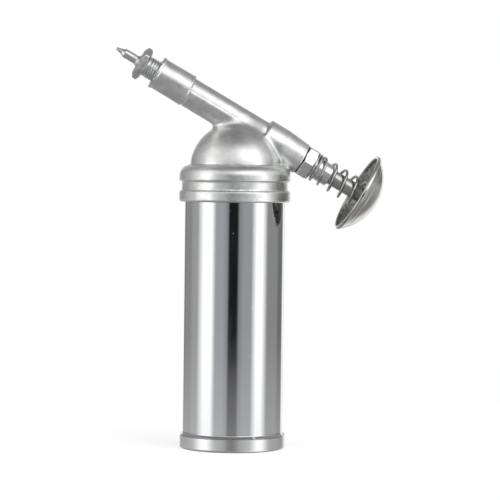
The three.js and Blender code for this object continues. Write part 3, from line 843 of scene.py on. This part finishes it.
collar_radius = 22.2 * mm
waist_radius = 21.2 * mm
lower_bead_height = 4.3 * mm
waist_height = 4 * mm
upper_bead_height = 2.3 * mm
shoulder_width = 4.2 * mm
shoulder_height = 4 * mm
bead_round = 0.9 * mm
crease_round = 0.45 * mm
dome_radius = collar_radius - shoulder_width
crease_depth = 0.3 * mm  # how deep the line between the shoulder and the dome is cut
dome_sink = 1.1 * mm  # how far the dome's centre lies below the top of the shoulder
tube_radius = 5.8 * mm
socket_radius = 6.45 * mm
socket_lip = 6.8 * mm
socket_length = 14.7 * mm
boss_front_radius = 7.3 * mm
boss_rear_radius = 6.4 * mm
boss_length = 18.2 * mm
boss_straight = 8.3 * mm
tube_fillet = 3.2 * mm  # how softly the dome runs into the tube
boss_fillet = 1.5 * mm
die_step = 0.14 * mm
lower_half_fuller = 0.38 * mm
grain_of_mesh = 0.4 * mm

collar_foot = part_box("head_casting")[0].z
waist_foot = collar_foot + lower_bead_height
upper_foot = waist_foot + waist_height
shoulder_foot = upper_foot + upper_bead_height
dome_foot = shoulder_foot + shoulder_height
dome_centre = dome_foot - dome_sink
head_front = box_along("head_casting", pump_axis)[0].z
boss_rear = box_along("gland_gasket", pump_axis)[0].z
boss_front = boss_rear - boss_length
socket_rear = head_front + socket_length
shoulder = arc(0, 0, 1, 0, 84, 8)
collar_and_dome = [
    (0, collar_foot),
    (collar_radius, collar_foot, bead_round),
    (collar_radius, waist_foot, bead_round),
    (waist_radius, waist_foot + 0.3 * mm, crease_round),
    (waist_radius, upper_foot - 0.1 * mm, crease_round),
    (collar_radius, upper_foot, bead_round * 0.8),
    *((dome_radius + shoulder_width * x, shoulder_foot + shoulder_height * y) for x, y in shoulder),
    (dome_radius + 0.08 * mm, dome_foot - crease_depth, 0.12 * mm),
    *arc(0, dome_centre, dome_radius, 3, 89, 28),
    (0, dome_centre + dome_radius),
]
pump_tube = [
    (0, head_front),
    (socket_lip, head_front, 0.15 * mm),
    (socket_lip, head_front + 0.9 * mm, 0.2 * mm),
    (socket_radius, head_front + 1.2 * mm, 0.3 * mm),
    (socket_radius + 0.1 * mm, socket_rear - 0.9 * mm, 0.4 * mm),
    (socket_radius + 0.2 * mm, socket_rear - 0.5 * mm, 0.2 * mm),
    (socket_radius + 0.1 * mm, socket_rear, 0.3 * mm),
    (tube_radius, socket_rear + 0.3 * mm, 0.3 * mm),
    (tube_radius, boss_front - 0.2 * mm, 0.3 * mm),
    (boss_front_radius, boss_front + 0.4 * mm, 0.4 * mm),
    (boss_front_radius, boss_front + boss_straight, 3 * mm),
    (boss_rear_radius, boss_rear, 0.3 * mm),
    (0, boss_rear),
]


def outside_of(outline, radius, height):
    """How far each point lies outside a turned outline: less than nothing for a point inside it."""
    nearest = np.full(radius.shape, np.inf)
    inside = np.zeros(radius.shape, bool)
    for (r0, z0), (r1, z1) in zip(outline, outline[1:]):
        across, up = r1 - r0, z1 - z0
        share = np.clip(((radius - r0) * across + (height - z0) * up) / (across**2 + up**2), 0, 1)
        nearest = np.minimum(nearest, np.hypot(radius - r0 - share * across, height - z0 - share * up))
        if up:
            inside ^= ((z0 > height) != (z1 > height)) & (radius < r0 + (height - z0) * across / up)
    return np.where(inside, -nearest, nearest)


def smooth_step(value):
    """From nothing to one, easily, as the value goes from nothing to one."""
    value = np.clip(value, 0, 1)
    return value * value * (3 - 2 * value)


def outside_the_casting(points):
    """How far points lie outside the casting, with the dome and the tube run softly into each other."""
    radius = np.hypot(points[:, 0], points[:, 1])
    body = outside_of(body_outline, radius, points[:, 2])
    back = np.array(pump_axis.inverted())
    local = points @ back[:3, :3].T + back[:3, 3]
    radius = np.hypot(local[:, 0], local[:, 1])
    down = local[:, 0] / np.maximum(radius, 1e-6)
    between = smooth_step((local[:, 2] - socket_rear) / mm) * smooth_step((boss_front - local[:, 2]) / mm)
    below_the_parting = 0.5 + 0.5 * np.tanh(local[:, 0] / (0.12 * mm))
    fuller = (die_step * below_the_parting + lower_half_fuller * np.maximum(down, 0)) * between
    tube = outside_of(tube_outline, radius - fuller, local[:, 2])
    at_the_boss = smooth_step((local[:, 2] - boss_front + 2 * mm) / (3 * mm))
    fillet = tube_fillet + (boss_fillet - tube_fillet) * at_the_boss
    near = np.maximum(fillet - np.abs(body - tube), 0) / fillet
    return np.minimum(body, tube) - near * near * fillet / 4


def drawn_onto(points, surface, steps=4, probe=1e-6):
    """The points moved along the surface's slope until they lie on it."""
    for _ in range(steps):
        here = surface(points)
        slope = np.stack([(surface(points + probe * way) - here) / probe for way in np.eye(3)], axis=1)
        points = points - here[:, None] * slope / np.maximum((slope**2).sum(axis=1), 0.2)[:, None]
    return points


body_outline = [tuple(corner) for corner in rounded(collar_and_dome, False)]
tube_outline = [tuple(corner) for corner in rounded(pump_tube, False)]
cast_head = turned("cast_head", collar_and_dome)
worked(cast_head, "UNION", turned("pump_tube", pump_tube, pump_axis))
skin = cast_head.modifiers.new("skin", "REMESH")
skin.mode = "VOXEL"
skin.voxel_size = grain_of_mesh
settled(cast_head)
skin_points = np.array([vertex.co for vertex in cast_head.data.vertices])
skin_points = drawn_onto(skin_points, outside_the_casting)
cast_head.data.vertices.foreach_set("co", skin_points.astype(np.float32).ravel())

cave_radius = dome_radius - 2.5 * mm
pump_wall = 6.2 * mm
entry_radius = barrel_radius + 0.2 * mm
screw_bore = 19.7 * mm
entry_depth = 1.5 * mm
gasket_seat = gasket_high.z + seat_gap
grease_space = turned(
    "grease_space",
    [
        (0, collar_foot - entry_depth),
        (entry_radius + 0.3 * mm, collar_foot - entry_depth),
        (entry_radius + 0.3 * mm, collar_foot),
        (entry_radius, collar_foot + 0.3 * mm),
        (entry_radius, collar_foot + entry_depth),
        (screw_bore, collar_foot + entry_depth + 0.5 * mm),
        (screw_bore, gasket_seat),
        (cave_radius, gasket_seat),
        *arc(0, dome_centre, cave_radius, 0, 89, 20),
        (0, dome_centre + cave_radius),
    ],
)
pump_core = [(0, head_front), (pump_wall, head_front), (pump_wall, boss_rear), (0, boss_rear)]
worked(grease_space, "DIFFERENCE", turned("pump_core", pump_core, pump_axis))
worked(cast_head, "DIFFERENCE", grease_space)

nozzle_low, nozzle_high = box_along("nozzle", pump_axis)
ball_low, ball_high = box_along("check_ball", pump_axis)
plunger_low, plunger_high = box_along("plunger", pump_axis)
packing_low, packing_high = box_along("rod_packing", pump_axis)
socket_bore = 4.7 * mm
chamber_bore = 3.1 * mm
outlet_bore = 1.6 * mm
pump_bore = 4.1 * mm
gland_bore = 5.1 * mm
stroke_room = 13.4 * mm
mouth_chamfer = 0.9 * mm
drill_start = 1 * mm  # how far outside the casting a bore begins
seat_lap = 0.45 * mm  # how far the ball sinks into its seat
inlet_clearance = 0.4 * mm
bore_end = plunger_low.z - stroke_room
valve_seat = ball_high.z - seat_lap
bores = turned(
    "bores",
    [
        (0, head_front - drill_start),
        (socket_bore + mouth_chamfer, head_front - drill_start),
        (socket_bore + mouth_chamfer, head_front),
        (socket_bore, head_front + 0.8 * mm),
        (socket_bore, nozzle_high.z + seat_gap),
        (chamber_bore, nozzle_high.z + seat_gap),
        (chamber_bore, valve_seat),
        (outlet_bore, valve_seat),
        (outlet_bore, bore_end),
        (pump_bore, bore_end),
        (pump_bore, packing_low.z - seat_gap),
        (gland_bore, packing_low.z - seat_gap),
        (gland_bore, boss_rear + drill_start),
        (0, boss_rear + drill_start),
    ],
    pump_axis,
    around=96,
)
worked(cast_head, "DIFFERENCE", bores)
inlet_radius = 1.75 * mm
inlet_place = plunger_low.z - inlet_radius - inlet_clearance
inlet = turned(
    "inlet",
    [(0, 0), (inlet_radius, 0), (inlet_radius, dome_radius), (0, dome_radius)],
    pump_axis @ Matrix.Translation((0, 0, inlet_place)) @ Matrix.Rotation(math.radians(90), 4, "Y"),
    around=48,
)
worked(cast_head, "DIFFERENCE", inlet)
coated(cast_head, cast_zinc("head_zinc"))
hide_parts("head_casting")
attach(cast_head, "head")


# ---- Nozzle ------------------------------------------------------------------
# The mouthpiece that is pressed on a grease nipple, turned from hexagon bar: a drilled point, a slim stem,
# the hexagon and a fine thread that screws into the head's socket.
def zinc_plate(name, place=Matrix()):
    """Zinc plate on turned steel: bright, with a faint cold cast that changes a little over it."""
    material, tree, shader, spot = finish(name, (0.74, 0.76, 0.76), 0.2, place=place)
    coloured(tree, shader, noise(tree, spot, 2.5 * mm), (0.68, 0.715, 0.725), (0.80, 0.81, 0.80))
    rough(tree, shader, noise(tree, spot, 0.9 * mm, 3.0), 0.13, 0.28)
    raised(tree, shader, turning_lines(tree, spot, 0.3 * mm), 0.6e-6)
    return material


nozzle_hex_flats = 12 * mm
nozzle_hex_length = 3.5 * mm
nozzle_thread_shown = 4.8 * mm
nozzle_thread_crest = 4.6 * mm
nozzle_thread_depth = 0.5 * mm
nozzle_thread_pitch = 1 * mm
stem_radius = 1.8 * mm
stem_bore = 0.8 * mm
tip_radius = 0.45 * mm
tip_bore = 0.25 * mm
point_length = 3.5 * mm
point_root = stem_radius * 0.62
stem_root = stem_radius * 1.45
nozzle_mouth = 2 * mm  # the wide bore behind the hexagon
funnel_length = 2 * mm

hex_rear = head_front - nozzle_thread_shown
hex_front = hex_rear - nozzle_hex_length
hex_corner = nozzle_hex_flats / math.sqrt(3)
point_rear = nozzle_low.z + point_length
nozzle_core = nozzle_thread_crest - nozzle_thread_depth
pointed_nozzle = turned(
    "pointed_nozzle",
    [
        (tip_bore, nozzle_low.z),
        (tip_radius, nozzle_low.z, 0.15 * mm),
        (point_root, point_rear - 0.8 * mm, 0.8 * mm),
        (stem_radius * 0.9, point_rear, 0.3 * mm),
        (stem_radius, point_rear + 0.3 * mm, 0.2 * mm),
        (stem_radius, hex_front - 0.9 * mm, 0.5 * mm),
        (stem_root, hex_front, 0.15 * mm),
        (hex_corner - 1.9 * mm, hex_front, 0.3 * mm),
        (hex_corner, hex_front + 1.1 * mm, 0.4 * mm),
        (hex_corner, hex_rear - 0.9 * mm, 0.4 * mm),
        (hex_corner - 1.6 * mm, hex_rear, 0.3 * mm),
        (nozzle_core, hex_rear, 0.3 * mm),
        (nozzle_core, nozzle_high.z, 0.4 * mm),
        (nozzle_mouth, nozzle_high.z),
        (nozzle_mouth, hex_rear + funnel_length),
        (stem_bore, hex_rear),
        (stem_bore, point_rear),
        (tip_bore, point_rear - 0.6 * mm),
    ],
    pump_axis,
    across_flats=nozzle_hex_flats,
)
nozzle_zinc = zinc_plate("nozzle_zinc", pump_axis)
nozzle_thread = grown(
    "nozzle_thread",
    threads,
    pump_axis @ Matrix.Translation((0, 0, hex_rear + plain_end * nozzle_thread_pitch)),
    core=nozzle_core,
    depth=nozzle_thread_depth,
    pitch=nozzle_thread_pitch,
    length=nozzle_high.z - hex_rear - 2 * plain_end * nozzle_thread_pitch,
    steps=700,
    finish=nozzle_zinc,
)
pointed_nozzle.data.materials.append(bright_steel("nozzle_steel", pump_axis))
pointed_nozzle.data.materials.append(nozzle_zinc)
worked(pointed_nozzle, "UNION", nozzle_thread)
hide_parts("nozzle")
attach(pointed_nozzle, "head")


# ---- Check valve -------------------------------------------------------------
# A hardened ball that a light spring, standing on the nozzle's end, holds against the pump's outlet.
def ground_steel(name, place=Matrix()):
    """Hard steel, ground and polished: dark and close to a mirror, with very fine lines round the axis."""
    material, tree, shader, spot = finish(name, (0.48, 0.475, 0.455), 0.2, place=place)
    rough(tree, shader, noise(tree, spot, 1.2 * mm, 3.0), 0.15, 0.24)
    raised(tree, shader, turning_lines(tree, spot, 0.07 * mm), 0.5e-6)
    return material


ball_radius = (ball_high.z - ball_low.z) / 2
ball_middle = (ball_high.z + ball_low.z) / 2
ball_outline = [(0, ball_low.z), *arc(0, ball_middle, ball_radius, -88, 88, 44), (0, ball_high.z)]
steel_ball = turned("steel_ball", ball_outline, pump_axis, around=64)
coated(steel_ball, ground_steel("ball_steel", pump_axis))
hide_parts("check_ball")
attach(steel_ball, "check_valve")

valve_wire = 0.5 * mm
valve_coils = 4
light_wire = drawn_wire("light_wire", pump_axis)
light_spring = spring_in(
    "light_spring", "valve_spring", pump_axis, 0, valve_wire, valve_coils, 32, 10, light_wire
)
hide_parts("valve_spring")
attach(light_spring, "head")
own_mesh(light_spring)


# ---- Gland -------------------------------------------------------------------
# Fibre packing round the plunger, the sealing ring under the hexagon, and the nut that presses on both. Its
# long sleeve guides the plunger, and the return spring winds round it.
def pressed_fibre(name, place=Matrix()):
    """Graphited fibre packing: dark, dull and matted."""
    material, tree, shader, spot = finish(name, (0.05, 0.045, 0.04), 0.8, 0.0, place)
    strands = noise(tree, spot, 0.25 * mm, 4.0, stretch=(1, 1, 0.3))
    coloured(tree, shader, strands, (0.03, 0.028, 0.026), (0.11, 0.09, 0.07))
    raised(tree, shader, strands, 60e-6)
    return material


rod_bore = 3.4 * mm
matted_packing = flat_ring(
    "matted_packing",
    rod_bore,
    packing_low,
    packing_high,
    0.3 * mm,
    0.3 * mm,
    place=pump_axis,
    around=64,
)
coated(matted_packing, pressed_fibre("packing_fibre", pump_axis))
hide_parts("rod_packing")
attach(matted_packing, "head")

ring_low, ring_high = box_along("gland_gasket", pump_axis)
sealing_ring = flat_ring(
    "sealing_ring",
    gland_bore + seat_gap,
    ring_low,
    ring_high,
    0.1 * mm,
    0.15 * mm,
    place=pump_axis,
    around=96,
)
coated(sealing_ring, moulded_rubber("ring_rubber", pump_axis))
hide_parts("gland_gasket")
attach(sealing_ring, "head")

nut_low, nut_high = box_along("gland_nut", pump_axis)
nut_hex_flats = 12 * mm
nut_hex_corner = nut_hex_flats / math.sqrt(3)
nut_hex_length = 4.4 * mm
nut_turn = math.radians(-24)
corner_cut = 0.95 * mm  # how far the hexagon's corners are turned away at its faces
corner_slope = 0.55 * mm
shank_radius = 5 * mm
sleeve_radius = 4.4 * mm
nut_hex_front = ring_high.z + 0.05 * mm
nut_hex_rear = nut_hex_front + nut_hex_length
sleeve_nut = turned(
    "sleeve_nut",
    [
        (rod_bore, nut_low.z),
        (shank_radius, nut_low.z, 0.4 * mm),
        (shank_radius, nut_hex_front),
        (nut_hex_corner - corner_cut, nut_hex_front, 0.2 * mm),
        (nut_hex_corner, nut_hex_front + corner_slope, 0.2 * mm),
        (nut_hex_corner, nut_hex_rear - corner_slope, 0.2 * mm),
        (nut_hex_corner - corner_cut, nut_hex_rear, 0.2 * mm),
        (sleeve_radius, nut_hex_rear, 0.25 * mm),
        (sleeve_radius, nut_high.z, 0.5 * mm),
        (rod_bore, nut_high.z, 0.3 * mm),
    ],
    pump_axis,
    across_flats=nut_hex_flats,
    turn=nut_turn,
)
coated(sleeve_nut, zinc_plate("nut_zinc", pump_axis))
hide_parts("gland_nut")
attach(sleeve_nut, "head")


# ---- Return spring -----------------------------------------------------------
# A stiff spring with closed ends that pushes the button out again. It stands on a thin washer, which keeps
# its wire from cutting into the nut.
thin_washer = flat_ring(
    "thin_washer",
    sleeve_radius + seat_gap,
    *box_along("spring_washer", pump_axis),
    0.1 * mm,
    0.2 * mm,
    place=pump_axis,
    around=96,
)
coated(thin_washer, drawn_wire("washer_steel", pump_axis))
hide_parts("spring_washer")
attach(thin_washer, "head")

return_wire = 1.1 * mm
return_coils = 4.95
wire_start = math.radians(115)
stiff_wire = drawn_wire("return_wire", pump_axis)
plunger_spring = spring_in(
    "plunger_spring", "return_spring", pump_axis, wire_start, return_wire, return_coils, 64, 20, stiff_wire
)
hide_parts("return_spring")
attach(plunger_spring, "head")
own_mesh(plunger_spring)


# ---- Plunger -----------------------------------------------------------------
# A ground steel rod. Its front end is the piston, grooved for a rubber ring, and its rear end is a spigot
# that is pressed into the button's hub.
hub_low, hub_high = box_along("button_hub", pump_axis)
seal_low, seal_high = box_along("piston_ring", pump_axis)
rod_radius = 3.2 * mm
piston_radius = 3.9 * mm
piston_length = 5 * mm
spigot_radius = 2.4 * mm
seal_wire = (seal_high.z - seal_low.z) / 2
groove_floor = piston_radius - 0.85 * mm
groove_half = seal_wire + 0.12 * mm
seal_middle = (seal_high.z + seal_low.z) / 2
ground_plunger = turned(
    "ground_plunger",
    [
        (0, plunger_low.z),
        (piston_radius, plunger_low.z, 0.4 * mm),
        (piston_radius, seal_middle - groove_half, 0.1 * mm),
        (groove_floor, seal_middle - groove_half),
        (groove_floor, seal_middle + groove_half),
        (piston_radius, seal_middle + groove_half, 0.1 * mm),
        (piston_radius, plunger_low.z + piston_length, 0.3 * mm),
        (rod_radius, plunger_low.z + piston_length),
        (rod_radius, hub_low.z - seat_gap, 0.2 * mm),
        (spigot_radius, hub_low.z - seat_gap),
        (spigot_radius, plunger_high.z, 0.3 * mm),
        (0, plunger_high.z),
    ],
    pump_axis,
    around=96,
)
coated(ground_plunger, ground_steel("plunger_steel", pump_axis))
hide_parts("plunger")
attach(ground_plunger, "plunger")

seal_centre = seal_high.y - seal_wire
seal_outline = arc(seal_centre, seal_middle, seal_wire, 0, 345, 23)
round_ring = turned("round_ring", seal_outline, pump_axis, around=96)
coated(round_ring, moulded_rubber("seal_rubber", pump_axis))
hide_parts("piston_ring")
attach(round_ring, "plunger")


# ---- Palm button -------------------------------------------------------------
# A dome spun from steel sheet with its rim rolled over and a groove beside it, chromed, and left dull on its
# hollow side, whose dark grey is painted shade. The hub in it is turned and soldered to the dome, and holds
# the plunger's end.
def spun_chrome(name, place=Matrix()):
    """Chrome over spun steel: bright, with the spinning roller's fine rings and soft waves left under it."""
    material, tree, shader, spot = finish(name, (0.60, 0.595, 0.585), 0.14, place=place)
    rough(tree, shader, noise(tree, spot, 2.5 * mm, 3.0), 0.1, 0.2)
    raised(tree, shader, noise(tree, spot, 7 * mm, 2.0), 45e-6)
    raised(tree, shader, turning_lines(tree, spot, 0.45 * mm), 2.5e-6)
    return material


def dull_plate_and_painted_shade(name, place=Matrix()):
    """Thin, dull, cloudy plate over unpolished steel, painted dark grey as the shade in the button's hollow.
    """
    material, tree, shader, spot = finish(name, (0.36, 0.36, 0.35), 0.36, place=place)
    clouds = noise(tree, spot, 1.6 * mm, 3.0)
    coloured(tree, shader, clouds, (0.24, 0.24, 0.235), (0.44, 0.44, 0.43))
    rough(tree, shader, noise(tree, spot, 1.2 * mm, 3.0), 0.28, 0.45)
    raised(tree, shader, noise(tree, spot, 0.6 * mm, 3.0), 10e-6)
    return material


button_low, button_high = box_along("push_button", pump_axis)
button_radius = button_high.y
button_wall = 1.2 * mm
button_lip = 1.4 * mm
hollow_radius = button_radius - button_wall


def dome_line(radius, foot, apex, steps):
    """The way up a dome from its foot to the axis, as a function of the radius and as corners."""
    rise = apex - foot
    sphere = (radius**2 + rise**2) / (2 * rise)

    def height(out):
        return apex - sphere + math.sqrt(sphere**2 - out**2)

    outs = [radius * math.sin(math.pi / 2 * (1 - i / steps)) for i in range(steps)]
    return height, [(out, height(out)) for out in outs] + [(0, apex)]


dome_lip = button_low.z + button_lip
groove_place = button_radius - 2.3 * mm
groove_depth = 0.16 * mm
groove_width = 0.35 * mm
dome_steps = 30
outer_height, outer_dome = dome_line(button_radius - 0.5 * mm, dome_lip + 0.1 * mm, button_high.z, dome_steps)
groove = [
    (groove_place + groove_width, outer_height(groove_place + groove_width), 0.15 * mm),
    (groove_place, outer_height(groove_place) - groove_depth, 0.15 * mm),
    (groove_place - groove_width, outer_height(groove_place - groove_width), 0.15 * mm),
]
below_groove = [corner for corner in outer_dome if corner[0] > groove_place + 2 * groove_width]
above_groove = [corner for corner in outer_dome if corner[0] < groove_place - 2 * groove_width]
_, inner_dome = dome_line(hollow_radius, dome_lip, button_high.z - button_wall, dome_steps)
palm_button = turned(
    "palm_button",
    [
        *below_groove,
        *groove,
        *above_groove,
        *inner_dome[::-1],
        (hollow_radius, button_low.z, 0.45 * mm),
        (button_radius - 0.1 * mm, button_low.z, 0.5 * mm),
        (button_radius, dome_lip - 0.1 * mm, 0.5 * mm),
        (button_radius - 0.4 * mm, dome_lip + 0.05 * mm, 0.1 * mm),
    ],
    pump_axis,
    around=192,
)
coated(palm_button, spun_chrome("button_chrome", pump_axis))
# The faces on the hollow side get a dull plate whose dark grey is painted shade.
palm_button.data.materials.append(dull_plate_and_painted_shade("button_hollow_painted_shade", pump_axis))
for face in palm_button.data.polygons:
    spot = pump_axis.inverted() @ face.center
    if math.hypot(spot.x, spot.y) < hollow_radius and face.normal.dot(towards_button) < 0:
        face.material_index = 1
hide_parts("push_button")
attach(palm_button, "plunger")

hub_radius = hub_high.y
hub_floor = plunger_high.z + seat_gap
turned_hub = turned(
    "turned_hub",
    [
        (spigot_radius + seat_gap, hub_low.z),
        (hub_radius, hub_low.z, 0.4 * mm),
        (hub_radius, hub_high.z, 0.2 * mm),
        (0, hub_high.z),
        (0, hub_floor),
        (spigot_radius + seat_gap, hub_floor),
    ],
    pump_axis,
    around=96,
)
coated(turned_hub, bright_steel("hub_steel", pump_axis))
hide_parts("button_hub")
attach(turned_hub, "plunger")
